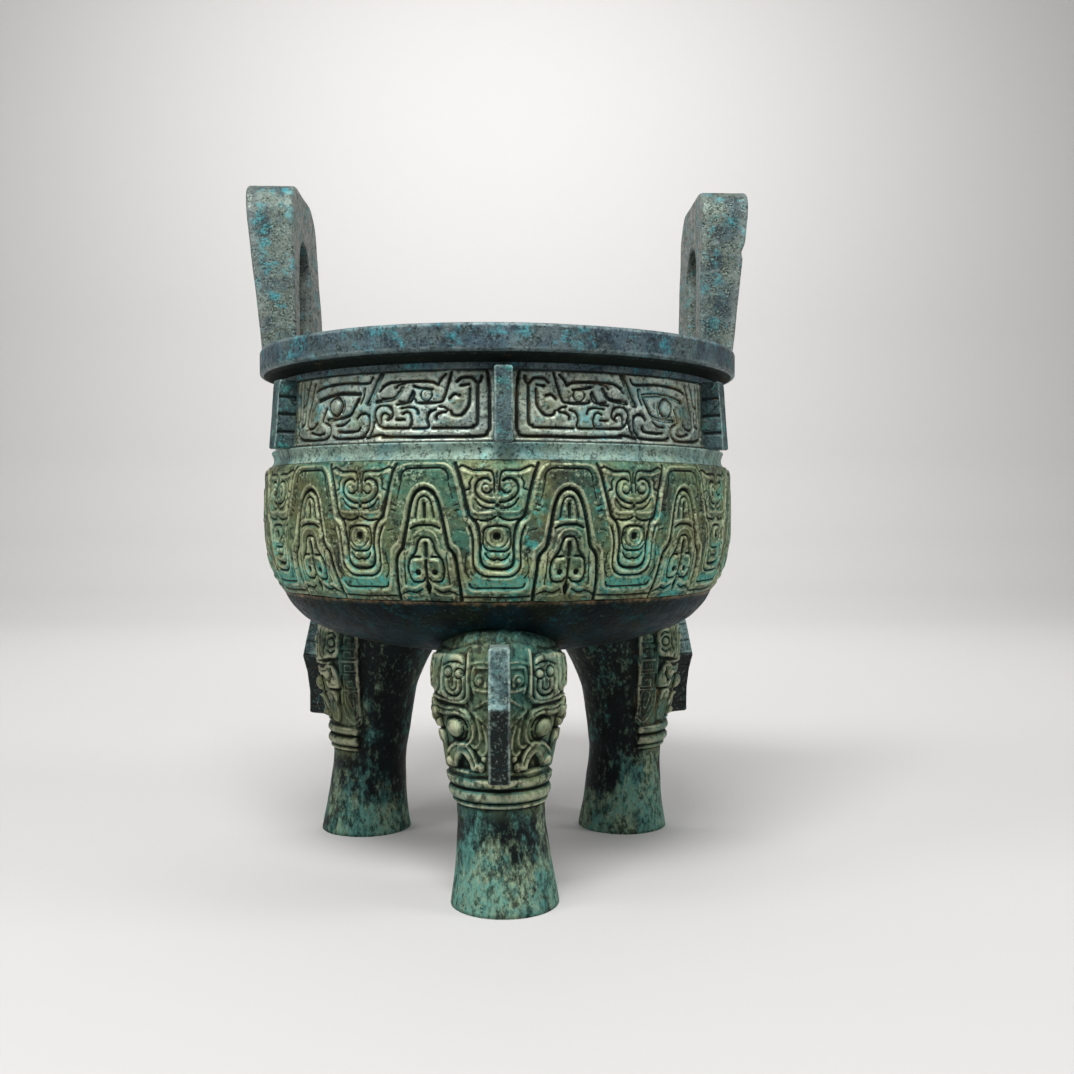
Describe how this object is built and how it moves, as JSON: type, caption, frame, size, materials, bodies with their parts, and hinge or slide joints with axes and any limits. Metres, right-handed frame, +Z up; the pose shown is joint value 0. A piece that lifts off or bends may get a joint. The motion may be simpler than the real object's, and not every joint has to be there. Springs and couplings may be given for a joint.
{
  "type": "bronze ding vessel",
  "caption": "Round bronze ding: an open cauldron with a flat rim, upright ears, neck flanges and a wave band, on mask-faced legs.",
  "frame": {"origin": "on the surface that the feet stand on, under the centre of the vessel's bounding box; the bowl's own axis is 4.65 mm behind it, at y = +4.65 mm", "axes": "+Z up along the bowl's axis; -Y towards the front leg, which shows its mask to the viewer; the ears stand at -X and +X"},
  "size_m": [0.2979, 0.3038, 0.4055],
  "materials": {
    "patinated_bronze": "matte green and turquoise patina over dark bronze, worn pale on the raised lines"
  },
  "bodies": {
    "root": {"ding_vessel": "patinated_bronze"}
  },
  "joints": []
}
